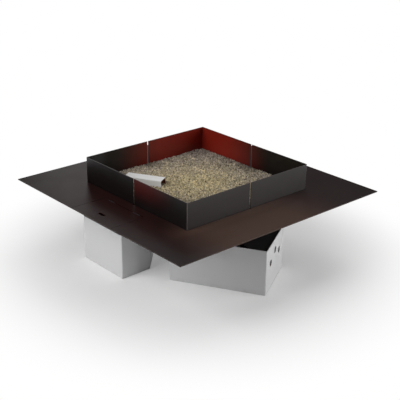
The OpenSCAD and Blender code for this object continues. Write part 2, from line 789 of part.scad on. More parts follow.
cover_top = top_h + cover_rise;
module pilot_cover() {
    h = cover_top - grate_top;
    color(steel_white) translate([0, 0, grate_top]) in_cover() {
        translate([-cover_l / 2, 0, 0]) rotate([90, 0, 90]) linear_extrude(cover_l) trough_2d(cover_w, h, cover_t, cover_t + 1.5);
        translate([-cover_l / 2, -cover_w / 2 + cover_t + 1, 0]) cube([cover_t, cover_w - 2 * cover_t - 2, h - cover_t + eps]);
    }
}
pilot_foot = pan_floor + 6;
bracket_top = top_h - 3;
module in_pilot() { rotate(cover_turn) translate([-cover_x + 30, -cover_y]) children(); }
module pilot_bracket() {
    color(zinc) in_pilot() difference() {
        union() {
            translate([-14, 12, pan_floor]) cube([28, 2, bracket_top - pan_floor]);
            translate([-14, -14, bracket_top - 2]) cube([28, 28, 2]);
            translate([-14, 12, pan_floor]) cube([28, 14, 2]);
        }
        translate([0, 0, bracket_top - 2]) bore(pilot_r + 1, 2);
        translate([-9, 0, bracket_top - 2]) bore(2.5, 2);
        translate([9, 0, bracket_top - 2]) bore(3, 2);
    }
}
module pilot_burner() {
    color(brass) in_pilot() {
        translate([0, 0, pilot_foot]) cylinder(h = bracket_top - pilot_foot + 1, r = pilot_r + 1);
        translate([0, 0, bracket_top]) cylinder(h = 4, r = 5.5, $fn = 6);
        difference() {
            translate([0, 0, bracket_top + 3]) cylinder(h = 17, r = 4);
            translate([0, 0, bracket_top + 14]) rotate([0, 90, 0]) cylinder(h = 6, r = 1.6);
            translate([0, 0, bracket_top + 10]) cylinder(h = 12, r = 2.5);
        }
    }
}
module igniter_electrode() {
    color("white") in_pilot() translate([9, 0, bracket_top - 12]) {
        cylinder(h = 26, r = 3);
        translate([0, 0, 26 - eps]) cylinder(h = 9, r = 0.8);
        translate([0, 0, 10]) cylinder(h = 2, r = 3);
    }
}
module thermocouple() {
    color(brass) in_pilot() translate([-9, 0, bracket_top - 16]) cylinder(h = 38, r = 2.5);
}

// ---------- legs ----------

module at_legs() { for (a = leg_turns) rotate(a) children(); }

// Outline of a leg box inset by d: outer end at +X, long side at -Y, inner end cut on a slant
slant_x0 = leg_reach - leg_l;
slant_x1 = leg_reach - leg_short;
slant = [slant_x1 - slant_x0, leg_w] / norm([slant_x1 - slant_x0, leg_w]);
function slant_x(y, d) = slant_x0 + d / slant.y + (y + leg_side + leg_w) * slant.x / slant.y;
function leg_outline(d) = let (y0 = -leg_side - leg_w + d, y1 = -leg_side - d, x1 = leg_reach - d)
    [[slant_x(y0, d), y0], [x1, y0], [x1, y1], [slant_x(y1, d), y1]];
module leg_2d(d) {
    r = leg_bend - d;
    y0 = -leg_side - leg_w + d;
    y1 = -leg_side - d;
    x1 = leg_reach - d;
    difference() {
        polygon(leg_outline(d));
        translate([x1 - r, y0 - over]) square([r + over, r + over]);
        translate([x1 - r, y1 - r]) square([r + over, r + over]);
    }
    translate([x1 - r, y0 + r]) circle(r);
    translate([x1 - r, y1 - r]) circle(r);
}
gusset_t = 4;
sharp_corner = leg_outline(leg_t / 2)[0];
blunt_corner = leg_outline(leg_t / 2)[3];
sharp_bolt = sharp_corner + 75 * [cos(23), sin(23)];
blunt_bolt = blunt_corner + 30 * [cos(67), -sin(67)];
module at_leg_bolts() {
    translate(sharp_bolt) children();
    translate(blunt_bolt) children();
}
floor_z = 4;
deck_under = leg_h - gusset_t - 3.4;
leg_tab = 18;
module end_tab() {
    translate([leg_reach - leg_t / 2 - leg_tab, leg_mid - leg_tab / 2]) square([leg_tab, leg_tab]);
}
module leg_box() {
    difference() {
        union() {
            translate([0, 0, glide_gap]) linear_extrude(leg_h - glide_gap) difference() { leg_2d(0); leg_2d(leg_t); }
            translate([0, 0, floor_z]) linear_extrude(leg_t) leg_2d(leg_t / 2);
            translate([0, 0, leg_h - gusset_t]) linear_extrude(gusset_t) {
                polygon([sharp_corner, sharp_corner + [115, 0], sharp_corner + 115 * slant]);
                polygon([blunt_corner, blunt_corner + [130, 0], blunt_corner - 130 * slant]);
            }
            translate([0, 0, deck_under - leg_t]) linear_extrude(leg_t) {
                end_tab();
                translate([leg_reach - 80, -leg_side - leg_w + leg_t / 2]) square([leg_tab, leg_tab]);
                translate([leg_reach - 80, -leg_side - leg_t / 2 - leg_tab]) square([leg_tab, leg_tab]);
            }
        }
        translate([0, 0, leg_h - gusset_t]) at_leg_bolts() bore(bolt_r + hole_gap, gusset_t);
        translate([0, 0, floor_z]) at_glides() bore(glide_r / 3, leg_t);
        translate([slant_x1 + 9, -leg_side - leg_t, 11]) rotate([-90, 0, 0]) bore(2, leg_t);
    }
}
module at_glides() {
    translate([slant_x0 + 110, -leg_side - leg_w + 40]) children();
    translate([leg_reach - 35, -leg_side - leg_w + 35]) children();
    translate([leg_reach - 35, -leg_side - 35]) children();
    translate([slant_x1 + 15, -leg_side - 40]) children();
}
module leg_front() { color(paint_grey) rotate(leg_turns[0]) leg_box(); }
module leg_left() { color(paint_grey) rotate(leg_turns[2]) leg_box(); }
// The flat of the right leg's end wall is a plate of its own, welded in between the two folds.
module end_wall(extra) {
    translate([leg_reach - leg_t, -leg_side - leg_w + leg_bend, glide_gap - extra])
        cube([leg_t + extra, leg_w - 2 * leg_bend, leg_h - glide_gap + 2 * extra]);
}
module leg_right() {
    color(paint_grey) rotate(leg_turns[1]) difference() {
        leg_box();
        end_wall(over);
        translate([0, 0, deck_under - leg_t - over]) linear_extrude(leg_t + 2 * over) end_tab();
    }
}
module port_wall() {
    color(paint_grey) rotate(leg_turns[1]) difference() {
        union() {
            end_wall(0);
            translate([0, 0, deck_under - leg_t]) linear_extrude(leg_t) end_tab();
        }
        for (s = [-1, 0, 1]) translate([leg_reach - leg_t, leg_mid + s * service_pitch,
            service_z + (s == 0 ? service_rise : 0)]) rotate([0, 90, 0]) bore(service_r, leg_t);
    }
}
module leg_bolts() {
    color(zinc) at_legs() at_leg_bolts() {
        translate([0, 0, leg_h - gusset_t - 9]) cylinder(h = gusset_t + housing_t + 11, r = bolt_r);
        translate([0, 0, housing_floor]) cylinder(h = 5, r = bolt_r * 1.7, $fn = 6);
    }
}
module leg_nuts() {
    color(zinc) at_legs() at_leg_bolts() translate([0, 0, leg_h - gusset_t - 6.5]) hex_nut(bolt_r, 6.5);
}
module leg_glides() {
    color(rubber) at_legs() at_glides() {
        cylinder(h = floor_z, r = glide_r);
        cylinder(h = floor_z + leg_t + 1, r = glide_r / 3);
        translate([0, 0, floor_z + leg_t]) cylinder(h = 2, r = glide_r / 2.2);
    }
}

// ---------- service gear in the right leg ----------

deck_t = 3;
module service_deck() {
    inner = leg_outline(leg_t + seat);
    y0 = inner[1].y;
    y1 = inner[2].y;
    depth = leg_w * 0.6;
    bolt_x = blunt_bolt.x + 5 * bolt_r;
    color(steel_black) rotate(leg_turns[1]) translate([0, 0, deck_under]) linear_extrude(deck_t)
        polygon([[leg_reach - 88, y0], [inner[1].x - 5, y0], [inner[1].x, y0 + 5], [inner[2].x, y1 - 5],
                 [inner[2].x - 5, y1], [bolt_x, y1], [bolt_x, y0 + depth],
                 [leg_reach - 88 - depth * tan(34), y0 + depth]]);
}
module port_plate() {
    y0 = -leg_side - leg_w + leg_t + 6;
    w = leg_w - 2 * leg_t - 12;
    h = deck_under - leg_t - floor_z - leg_t - 1;
    color(zinc) rotate(leg_turns[1]) difference() {
        translate([plate_x, y0, floor_z + leg_t]) cube([leg_reach - leg_t - plate_x, w, h]);
        translate([plate_x + 2, y0 + 2, floor_z]) cube([leg_reach, w - 4, h + 2 * leg_t]);
        translate([plate_x, service_y, service_z]) rotate([0, 90, 0]) bore(line_r * 2, 2);
    }
}
fitting_spigot = 16;              // length of the hose spigot in front of that nut
module inlet_fitting() {
    color(brass) rotate(leg_turns[1]) translate([fitting_back, service_y, service_z]) rotate([0, 90, 0]) difference() {
        union() {
            cylinder(h = fitting_nut, r = line_r * 2.6, $fn = 6);
            cylinder(h = fitting_nut + fitting_spigot, r = line_r * 2);
            translate([0, 0, fitting_nut + 2]) cylinder(h = 4, r = line_r * 2.6, $fn = 6);
        }
        translate([0, 0, fitting_nut]) cylinder(h = fitting_spigot + over, r = line_r * 1.4);
    }
}

table_top();
guard_front_left();
guard_front_right();
guard_rear_right();
guard_rear_left();
guard_screws();
guard_nuts();
access_lid();
hinge_lid_leaves();
hinge_fixed_leaves();
hinge_pins();
control_tray();
tray_gasket();
tray_studs();
tray_nuts();
control_panel();
gas_valve();
valve_stem();
control_knob();
igniter_barrel();
igniter_button();
igniter_spring();
burner_housing();
housing_studs();
housing_nuts();
burner_pan();
burner_hub();
burner_arms();
burner_saddles();
injector();
burner_line();
supply_line();
inlet_riser();
pilot_line();
line_grommets();
media_grate();
stone_bed();
pilot_cover();
pilot_bracket();
pilot_burner();
igniter_electrode();
thermocouple();
leg_front();
leg_right();
port_wall();
leg_left();
leg_bolts();
leg_nuts();
leg_glides();
service_deck();
port_plate();
inlet_fitting();
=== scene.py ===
# %% [markdown]
# # A gas fire pit table, dressed in Blender
# The construction comes from the CAD model: a thin square steel top on three leg boxes, a slotted wind guard
# round a bed of crushed stones, a pilot under a folded cover, and gas controls under a hinged lid.
# This file gives every surface its finish and rebuilds in mesh what a drawing leaves plain: softened sheet
# edges, thousands of loose stones, a wound spring, the marks of the gas control, and threads. Nothing of the
# frame is moved. Lengths are in metres, and come from the frame's own boxes wherever they can.

import json
import math

import bmesh
import bpy
import numpy as np
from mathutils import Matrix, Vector

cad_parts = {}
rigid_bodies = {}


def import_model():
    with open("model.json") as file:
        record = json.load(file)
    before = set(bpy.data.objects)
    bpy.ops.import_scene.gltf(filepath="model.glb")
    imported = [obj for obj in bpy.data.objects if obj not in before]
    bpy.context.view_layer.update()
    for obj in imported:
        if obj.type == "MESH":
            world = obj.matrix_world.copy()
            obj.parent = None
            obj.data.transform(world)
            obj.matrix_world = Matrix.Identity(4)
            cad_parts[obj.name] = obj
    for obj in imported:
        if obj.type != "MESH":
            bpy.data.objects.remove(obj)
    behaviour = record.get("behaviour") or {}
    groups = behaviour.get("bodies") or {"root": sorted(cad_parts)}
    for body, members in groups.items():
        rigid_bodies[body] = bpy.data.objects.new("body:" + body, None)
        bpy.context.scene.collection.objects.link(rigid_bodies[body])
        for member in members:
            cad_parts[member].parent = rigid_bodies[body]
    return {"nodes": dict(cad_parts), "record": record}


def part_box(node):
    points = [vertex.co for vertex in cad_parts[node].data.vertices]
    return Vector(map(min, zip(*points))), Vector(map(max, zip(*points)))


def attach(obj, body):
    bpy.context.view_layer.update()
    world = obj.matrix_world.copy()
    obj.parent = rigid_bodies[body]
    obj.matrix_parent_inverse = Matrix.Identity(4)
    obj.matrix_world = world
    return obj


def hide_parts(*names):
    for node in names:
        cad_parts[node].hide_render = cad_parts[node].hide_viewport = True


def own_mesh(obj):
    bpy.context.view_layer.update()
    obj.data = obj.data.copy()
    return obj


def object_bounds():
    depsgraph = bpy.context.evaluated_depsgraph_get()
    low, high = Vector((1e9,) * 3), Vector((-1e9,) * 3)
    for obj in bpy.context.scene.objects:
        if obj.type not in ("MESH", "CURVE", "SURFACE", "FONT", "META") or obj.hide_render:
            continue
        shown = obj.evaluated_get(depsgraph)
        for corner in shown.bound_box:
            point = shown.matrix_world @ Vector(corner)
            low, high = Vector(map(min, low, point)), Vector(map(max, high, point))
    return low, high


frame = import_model()
cad_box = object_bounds()
MM = 0.001
seeds = np.random.default_rng(2024)


def short(values):
    """Lengths to a tenth of a millimetre, for printing."""
    return [round(v, 4) for v in values]


print("CAD box", *map(short, cad_box))

# %% [markdown]
# ## Camera
# A camera could be dragged into place in the viewport, but then nobody can say where it stands. Here it is set
# the way one walks round a table: choose the point to look at, step back from it along a heading, rise by an
# angle, and pick the lens. A long lens from more than three table widths away keeps the square top from looking
# stretched. The camera leans by two thirds of a degree, as one held by hand does.

# %% Camera
TABLE_W = cad_box[1].x - cad_box[0].x
TOP_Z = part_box("table_top")[1].z
LOOK_AT = Vector((0.126 * TABLE_W, -0.088 * TABLE_W, TOP_Z))
HEADING = math.radians(48.46)
RISE = math.radians(22.58)
LEAN = math.radians(0.66)
DISTANCE = 3.311 * TABLE_W
LENS = 79.15


def look(target, heading, rise, lean, distance):
    """Camera matrix: back = (sin h cos r, -cos h cos r, sin r), turned about itself by the lean."""
    back = Vector((
        math.sin(heading) * math.cos(rise),
        -math.cos(heading) * math.cos(rise),
        math.sin(rise),
    ))
    turn = (-back).to_track_quat("-Z", "Y").to_matrix().to_4x4()
    turn = turn @ turn.Rotation(lean, 4, "Z")
    turn.translation = target + back * distance
    return turn


camera = bpy.data.objects.new("camera", bpy.data.cameras.new("camera"))
bpy.context.scene.collection.objects.link(camera)
camera.data.lens = LENS
camera.matrix_world = look(LOOK_AT, HEADING, RISE, LEAN, DISTANCE)
bpy.context.scene.camera = camera
print("camera at", short(camera.location))

# %% [markdown]
# ## Shader maths as expressions
# Nodes can be wired in the editor, or in code one link at a time, and both hide the sum that they stand for.
# So `Val` wraps one socket, and Python's own operators add the Math nodes: `1 - mask * 0.3` is written exactly
# so. A mask is a value from 0 to 1, and `fade` makes one from any measure.

# %% Val


class Val:
    """A value on its way through a material: a socket and the finish that it belongs to."""

    def __init__(self, finish, socket):
        self.finish, self.socket = finish, socket

    def maths(self, operation, *terms):
        return self.finish.node("ShaderNodeMath", {"operation": operation}, dict(enumerate(terms)))

    def __add__(self, other):
        return self.maths("ADD", self, other)

    def __sub__(self, other):
        return self.maths("SUBTRACT", self, other)

    def __rsub__(self, other):
        return self.maths("SUBTRACT", other, self)

    def __mul__(self, other):
        return self.maths("MULTIPLY", self, other)

    def __abs__(self):
        return self.maths("ABSOLUTE", self)

    __radd__ = __add__
    __rmul__ = __mul__

    def most(self, other):
        return self.maths("MAXIMUM", self, other)

    def least(self, other):
        return self.maths("MINIMUM", self, other)

    def fade(self, start, end):
        """0 before start, 1 after end, and an S-shaped rise between them."""
        return self.finish.node(
            "ShaderNodeMapRange",
            {"interpolation_type": "SMOOTHSTEP"},
            {"Value": self, "From Min": start, "From Max": end},
        )


print("Val is ready: + - * abs, most, least and fade")

# %% [markdown]
# ## One finish
# `Finish` owns one material and has a single method, `node`, that makes any node from its type, its settings
# and what goes into it. The methods after it are the few nodes that come back in every finish: where a point
# lies, cloudy noise, round cells, a mix of two colours, and a relief that is only shaded. Every pattern reads
# the object's own coordinates in metres, so no mesh has to be unwrapped and grain keeps its real size.

# %% Finish


class Finish:
    """One material. Sockets that are the same all over are given by name; set() links the rest."""

    def __init__(self, name, **fixed):
        self.material = bpy.data.materials.new(name)
        self.material.use_nodes = True
        self.tree = self.material.node_tree
        self.shader = self.tree.nodes["Principled BSDF"]
        self.set(**fixed)

    def feed(self, socket, value):
        """Links a Val to the socket, or sets the socket's own number or colour."""
        if isinstance(value, Val):
            self.tree.links.new(value.socket, socket)
        elif isinstance(value, (tuple, list)) and len(value) == 3 and socket.type == "RGBA":
            socket.default_value = (*value, 1)
        else:
            socket.default_value = value

    def node(self, kind, settings=None, inputs=None, out=0):
        made = self.tree.nodes.new(kind)
        for key, value in (settings or {}).items():
            setattr(made, key, value)
        for key, value in (inputs or {}).items():
            self.feed(made.inputs[key], value)
        return Val(self, made.outputs[out])

    def set(self, **sockets):
        """Feeds the shader's sockets by name, with _ for a space."""
        for name, value in sockets.items():
            self.feed(self.shader.inputs[name.replace("_", " ")], value)
        return self

    def place(self):
        return self.node("ShaderNodeTexCoord", out="Object")

    def axes(self, at=None):
        """The x, y and z of the surface point, or of the point `at`."""
        split = self.node("ShaderNodeSeparateXYZ", None, {0: at or self.place()})
        return [Val(self, split.socket.node.outputs[k]) for k in range(3)]

    def noise(self, size, detail=2.0, rough=0.5, at=None):
        """Cloudy 0..1 noise whose lumps are about `size` metres wide."""
        return self.node(
            "ShaderNodeTexNoise",
            None,
            {"Vector": at or self.place(), "Scale": 1 / size, "Detail": detail, "Roughness": rough},
        )

    def cells(self, size, out="Distance"):
        """Round cells about `size` metres wide: the distance to each one's middle, or a colour for each."""
        return self.node("ShaderNodeTexVoronoi", None, {"Vector": self.place(), "Scale": 1 / size}, out)

    def mix(self, a, b, factor):
        """Colour a where the factor is 0, colour b where it is 1."""
        return self.node("ShaderNodeMix", {"data_type": "RGBA"}, {0: factor, 6: a, 7: b}, 2)

    def bump(self, height, depth):
        """Tilts the surface as if height (0..1) stood `depth` metres tall."""
        relief = self.node("ShaderNodeBump", None, {"Height": height, "Distance": depth}, "Normal")
        return self.set(Normal=relief)


print("Finish is ready: place, axes, noise, cells, mix and bump")

# %% [markdown]
# ## Stage and light
# A product studio hangs a curved white sheet behind the object. A flat floor that fades to white does the same
# with one face: near the table it is matt paint that takes the shadow, and further out it glows as white as the
# surround, so that no horizon shows. The camera sees the surround as pure white, while a dim, even sky lights
# the table and shows in its coat, so the shadows stay soft but the dark coat stays dark. Four square lamps do
# the rest: a large key at the lid side, a high one behind, a low one on the right that rakes the legs and the
# guard, and a faint one at the left.

# %% Floor, sky and lamps
SKY, MIRROR = 0.10, 0.10
FLOOR_W = 60.0
LAMP_AIM = Vector((0, 0, 0.2))
LIFT = 0.24  # white glow of the floor right at the table
WHITE_FROM, WHITE_TO = 0.55, 1.20  # distances between which the glow takes over


def lamp(name, heading, rise, watts, size=2.6, distance=4.5):
    """Square lamp `distance` away, at that heading (0 is the lid side, 90 the right) and rise in degrees."""
    light = bpy.data.lights.new(name, "AREA")
    light.shape, light.size, light.energy = "SQUARE", size, watts
    holder = bpy.data.objects.new(name, light)
    holder.matrix_world = look(LAMP_AIM, math.radians(heading), math.radians(rise), 0, distance)
    bpy.context.scene.collection.objects.link(holder)


def white_surround():
    """World: white for camera and glass rays, MIRROR grey for mirror rays, SKY grey for light on things."""
    world = bpy.data.worlds.new("surround")
    bpy.context.scene.world = world
    world.use_nodes = True
    tree = world.node_tree
    tree.nodes.clear()

    def glow(strength):
        made = tree.nodes.new("ShaderNodeBackground")
        made.inputs["Color"].default_value = (1, 1, 1, 1)
        made.inputs["Strength"].default_value = strength
        return made.outputs[0]

    def either(share, no, yes):
        made = tree.nodes.new("ShaderNodeMixShader")
        for k, socket in enumerate((share, no, yes)):
            tree.links.new(socket, made.inputs[k])
        return made.outputs[0]

    ray = tree.nodes.new("ShaderNodeLightPath").outputs
    seen = tree.nodes.new("ShaderNodeMath")
    seen.operation = "MAXIMUM"
    tree.links.new(ray["Is Camera Ray"], seen.inputs[0])
    tree.links.new(ray["Is Transmission Ray"], seen.inputs[1])
    unseen = either(ray["Is Glossy Ray"], glow(SKY), glow(MIRROR))
    out = tree.nodes.new("ShaderNodeOutputWorld")
    tree.links.new(either(seen.outputs[0], unseen, glow(1.0)), out.inputs[0])


def floor_paint():
    """Matt white that keeps the shadow near the table and fades to the surround's pure white far from it."""
    paint = Finish("studio_floor", Base_Color=(0.93, 0.93, 0.93), Roughness=0.9, Specular_IOR_Level=0.0)
    rays = "Camera", "Glossy", "Transmission"
    seen, glossy, through = (paint.node("ShaderNodeLightPath", out=f"Is {ray} Ray") for ray in rays)
    away = paint.node("ShaderNodeVectorMath", {"operation": "LENGTH"}, {0: paint.place()}, "Value")
    lift = away.fade(WHITE_FROM, WHITE_TO) * (1 - LIFT) + LIFT
    painted = Val(paint, paint.shader.outputs[0])
    glow = paint.node("ShaderNodeEmission", None, {"Strength": 1.0})
    share = lift * seen.most(glossy).most(through)
    both = paint.node("ShaderNodeMixShader", None, {0: share, 1: painted, 2: glow})
    paint.tree.links.new(both.socket, paint.tree.nodes["Material Output"].inputs["Surface"])
    return paint.material


def studio_floor():
    corners = [(x * FLOOR_W, y * FLOOR_W, 0) for x, y in ((-1, -1), (1, -1), (1, 1), (-1, 1))]
    mesh = bpy.data.meshes.new("floor")
    mesh.from_pydata(corners, [], [(0, 1, 2, 3)])
    floor = bpy.data.objects.new("floor", mesh)
    bpy.context.scene.collection.objects.link(floor)
    mesh.materials.append(floor_paint())


white_surround()
studio_floor()
lamp("key", -11, 32, 137, 3.0)
lamp("back", 190, 58, 38)
lamp("low_right", 127, 14, 106)
lamp("left_back", 236, 21, 11, 2.2)
bpy.context.scene.view_settings.view_transform = "Standard"

# %% [markdown]
# ## Powder coat
# Powder coat is melted plastic dust: satin, with a very fine ripple, and never quite one shade. One flat colour
# would look like film, so `powder` lays two sizes of noise over each other, and each coat adds what happens to
# it in use. Wear could be painted on a map by hand; here every mask is a measure of the frame, such as the
# distance from a point or from an edge, which stays crisp up close and moves along if the table is changed.

# %% Powder coat
GUARD_LOW, GUARD_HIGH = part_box("guard_front_right")
GUARD_OUT, GUARD_TOP, SLOT_HALF = GUARD_HIGH.x, GUARD_HIGH.z, GUARD_LOW.x
GUARD_T = 3 * MM
GUARD_MID = GUARD_OUT - GUARD_T / 2


def powder(name, colour, rough, grain=0.9 * MM, relief=0.02 * MM, clouds=0.06):
    """A satin coat: cloudy shade, ripples of `grain` width and `relief` depth, uneven gloss."""
    coat = Finish(name)
    cloud = coat.noise(110 * MM, 3)
    ripple = coat.noise(grain, 2, 0.6)
    shade = 1 - clouds + cloud * (2 * clouds)
    coat.base = coat.mix((0.0, 0.0, 0.0), colour, shade)
    coat.set(Base_Color=coat.base, Roughness=rough - 0.05 + cloud * 0.1)
    coat.bump(ripple, relief)
    return coat


def distance_to(finish, point):
    """Distance in metres from the surface point to a fixed point of the frame."""
    ends = {0: finish.place(), 1: point}
    return finish.node("ShaderNodeVectorMath", {"operation": "DISTANCE"}, ends, "Value")


def edge_wear(coat, colour, rim):
    """Rubs the coat thin along a rim: broken by noise, so that it comes and goes."""
    rubbed = rim * coat.noise(14 * MM, 4, 0.65).fade(0.40, 0.62) * 0.6
    return coat.set(Base_Color=coat.mix(colour, (0.085, 0.066, 0.058), rubbed))


print("guard's outer faces, top and slot width", short((GUARD_OUT, GUARD_TOP, 2 * SLOT_HALF)))

# %% [markdown]
# ## Coat of the top
# Out in the weather the dark red-brown goes grey. On the right the coat is paler, partly faded and partly a
# painted sheen, and beside the guard's right foot a paler band is painted light, where the guard shades the
# top.
# A dark line round the guard's foot is painted shadow, and hands and cloths have rubbed the outer rim. One
# colour ramp could hold some of it, but then no tint could change without the others, so the tints are laid
# over each other one by one, each through its own mask.

# %% Coat of the top
# The pale worn tint is partly fading and partly a painted sheen on the right of the top.
TOP_DARK, TOP_AGED, TOP_FADED_AND_SHEEN = (0.0240, 0.0070, 0.0060), (0.0150, 0.0080, 0.0075), (0.066, 0.034, 0.023)
# The pale brown band beside the guard's right foot is painted light, lifting the shade that the guard casts.
FOOT_SHEEN, FOOT_SHADOW = (0.115, 0.064, 0.046), (0.003, 0.002, 0.002)
FADE_AND_SHEEN_AT = (0.56, -0.10, TOP_Z)
FOOT_SHEEN_W = 75 * MM


def top_coat():
    coat = powder("top_coat", TOP_DARK, 0.37).set(Specular_IOR_Level=0.2)
    x, y, _ = coat.axes()
    out = abs(x).most(abs(y))
    far = distance_to(coat, (0.0, 0.0, TOP_Z)).fade(0.35, 0.85)
    # painted sheen with real fading: the top is paler round this point on its right
    fade_and_sheen = 1 - distance_to(coat, FADE_AND_SHEEN_AT).fade(0.16, 0.46)
    # painted light: a paler band on the top within reach of the guard's right foot
    foot_sheen = (1 - (x - GUARD_OUT).fade(0.0, FOOT_SHEEN_W)) * fade_and_sheen * x.fade(0.0, GUARD_MID)
    # painted shadow: a dark contact line round the outside of the guard's foot
    foot_shadow = 1 - abs(out - GUARD_OUT - 1.8 * MM).fade(1.4 * MM, 3.4 * MM)
    rim = out.fade(TABLE_W / 2 - 2.5 * MM, TABLE_W / 2 - 0.3 * MM)
    colour = coat.base
    for tint, mask in ((TOP_AGED, far), (TOP_FADED_AND_SHEEN, fade_and_sheen), (FOOT_SHEEN, foot_sheen), (FOOT_SHADOW, foot_shadow * 0.85)):
        colour = coat.mix(colour, tint, mask)
    return edge_wear(coat, colour, rim)


# Round the printed point the top carries a painted sheen, and the band beside the guard is painted light.
print("top worn round", short(FADE_AND_SHEEN_AT), "with ash within", FOOT_SHEEN_W, "m of the guard")

# %% [markdown]
# ## Coat of the guard
# The red on the dark coat is painted firelight: strongest on the inner walls, where the flames stand nearest,
# and a little on the outside near the top of a slot. The face on the right is painted paler, as a sheen. The
# folded corners carry a painted highlight on the front and a painted dark line on the right face, and the cut
# edges in the slots are painted black, as shade. Faces and edges could each get a material of their own, but
# then the tints would meet in hard lines. One coat can hold them all, because the guard is square: the larger
# of |x| and |y| tells inside from outside, and the smaller one tells how near a corner or a slot is.

# %% Coat of the guard
# The warm and hot reds are painted firelight.
GUARD_DARK, GUARD_GLOW_OUTSIDE, GUARD_FIRELIGHT = (0.0044, 0.0025, 0.0023), (0.048, 0.0026, 0.0020), (0.20, 0.013, 0.006)
# The faded tint is a painted sheen on the right face; the rubbed tint is a painted highlight and the dirt tint
# a painted dark line beside it.
GUARD_SHEEN, GUARD_CORNER_SHADE, GUARD_CORNER_HIGHLIGHT = (0.036, 0.030, 0.029), (0.006, 0.005, 0.005), (0.17, 0.145, 0.135)
# The soot tint is painted shade on the cut edges of the slots.
SLOT_EDGE_SHADE = (0.0015, 0.0012, 0.0012)
FIRE_AT = (-0.31, 0.24, TOP_Z + 0.06)
SLOT_AT = (0.04, GUARD_LOW.y, GUARD_TOP)


def guard_coat():
    coat = powder("guard_coat", GUARD_DARK, 0.32).set(Specular_IOR_Level=0.38)
    x, y, z = coat.axes()
    out, side = abs(x).most(abs(y)), abs(x).least(abs(y))
    inside = 1 - out.fade(GUARD_MID - 0.2 * MM, GUARD_MID + 0.2 * MM)
    licks = coat.noise(60 * MM, 3, 0.6) * 0.5 + 0.75
    # painted firelight on the inner walls, fading away from the flames and broken up by noise
    firelight = inside * (1 - distance_to(coat, FIRE_AT).fade(0.10, 0.46)) * licks
    # painted firelight on the outside, near the top of the slot
    through = (1 - distance_to(coat, SLOT_AT).fade(0.02, 0.27)) * x.fade(-1 * MM, 8 * MM)
    # painted sheen: the right face is made paler
    right = x.fade(GUARD_OUT - 2.5 * MM, GUARD_OUT - 0.5 * MM)
    corner = side.fade(GUARD_OUT - 3.2 * MM, GUARD_OUT - 2.2 * MM)
    right_face = x.fade(GUARD_OUT - 0.9 * MM, GUARD_OUT - 0.3 * MM)
    # mask of the slots' cut edges, which are painted black as shade
    slot = 1 - side.fade(SLOT_HALF + 0.1 * MM, SLOT_HALF + 0.4 * MM)
    colour = coat.base
    for tint, mask in (
        (GUARD_GLOW_OUTSIDE, through * z.fade(GUARD_TOP - 0.12, GUARD_TOP - 0.01)),
        (GUARD_FIRELIGHT, (firelight * 1.1).least(1)),
        (GUARD_SHEEN, right),
        # painted dark line on the right face and painted highlight on the front face at each folded corner
        (GUARD_CORNER_SHADE, corner * right_face * 0.7),
        (GUARD_CORNER_HIGHLIGHT, corner * (1 - right_face)),
        (SLOT_EDGE_SHADE, slot),
    ):
        colour = coat.mix(colour, tint, mask)
    return edge_wear(coat, colour, z.fade(GUARD_TOP - 1.6 * MM, GUARD_TOP - 0.2 * MM))


# The guard's red round these points is painted firelight.
print("guard browned round", short(FIRE_AT), "and through the slot at", short(SLOT_AT))

# %% [markdown]
# ## Coats of the legs and the dark parts
# The leg boxes are pale, with a coarser ripple like orange peel, and dust gathers on their lowest two
# centimetres. Dust could be strewn as specks, but it is far thinner than the sheet and only changes the colour,
# so it is a mask: near the floor, and broken up by noise. The parts under the top have a plain black coat, for
# which `powder` is enough.

# %% Coats of the legs and the dark parts
DUST, DUST_H = (0.40, 0.37, 0.33), 24 * MM


def leg_coat():
    coat = powder("leg_coat", (0.63, 0.63, 0.635), 0.5, 1.1 * MM, 0.03 * MM, 0.015)
    _, _, z = coat.axes()
    dust = (1 - z.fade(2 * MM, DUST_H)) * coat.noise(20 * MM, 4, 0.6).fade(0.4, 0.75)
    return coat.set(Base_Color=coat.mix(coat.base, DUST, dust * 0.35))


def black_coat():
    return powder("black_coat", (0.012, 0.012, 0.013), 0.55, 0.8 * MM, 0.04 * MM, 0.1)


print("legs: dust up to", DUST_H, "m")

# %% [markdown]
# ## Bare and plated metal
# Screws and nuts are zinc plated, the burner is stainless, the valve and its fittings are brass, and the gas
# lines are copper. A picture of brushed metal would repeat and need unwrapping, so they share one recipe
# instead: a metal base, streaks of noise stretched along the brush or the die, and a slow cloud of tarnish that
# dulls the gloss where it lies.

# %% Metals


def metal(name, colour, tarnish, rough, streak=(1, 1, 30), amount=0.35):
    """Metal with streaks stretched by `streak` and clouds of the `tarnish` colour."""
    made = Finish(name, Metallic=1.0)
    stretched = made.node("ShaderNodeMapping", None, {"Vector": made.place(), "Scale": streak})
    lines = made.noise(8 * MM, 3, 0.6, stretched)
    stain = made.noise(45 * MM, 4, 0.6).fade(0.42, 0.75)
    made.set(
        Base_Color=made.mix(colour, tarnish, stain * amount),
        Roughness=rough + lines * 0.12 + stain * 0.1,
    )
    made.bump(lines, 0.02 * MM)
    return made


def zinc():
    made = metal("zinc", (0.58, 0.60, 0.62), (0.36, 0.37, 0.37), 0.3)
    spangle = made.cells(5 * MM, "Color")
    grey = made.node("ShaderNodeRGBToBW", None, {0: spangle})
    return made.set(Roughness=0.28 + grey * 0.16)


def stainless():
    return metal("stainless", (0.60, 0.59, 0.57), (0.42, 0.30, 0.20), 0.26, (1, 14, 1))


def brass():
    return metal("brass", (0.66, 0.47, 0.20), (0.32, 0.20, 0.09), 0.24, (1, 1, 20))


def copper():
    return metal("copper", (0.70, 0.34, 0.20), (0.30, 0.14, 0.09), 0.28, (1, 1, 6), 0.6)


print("four metals ready")

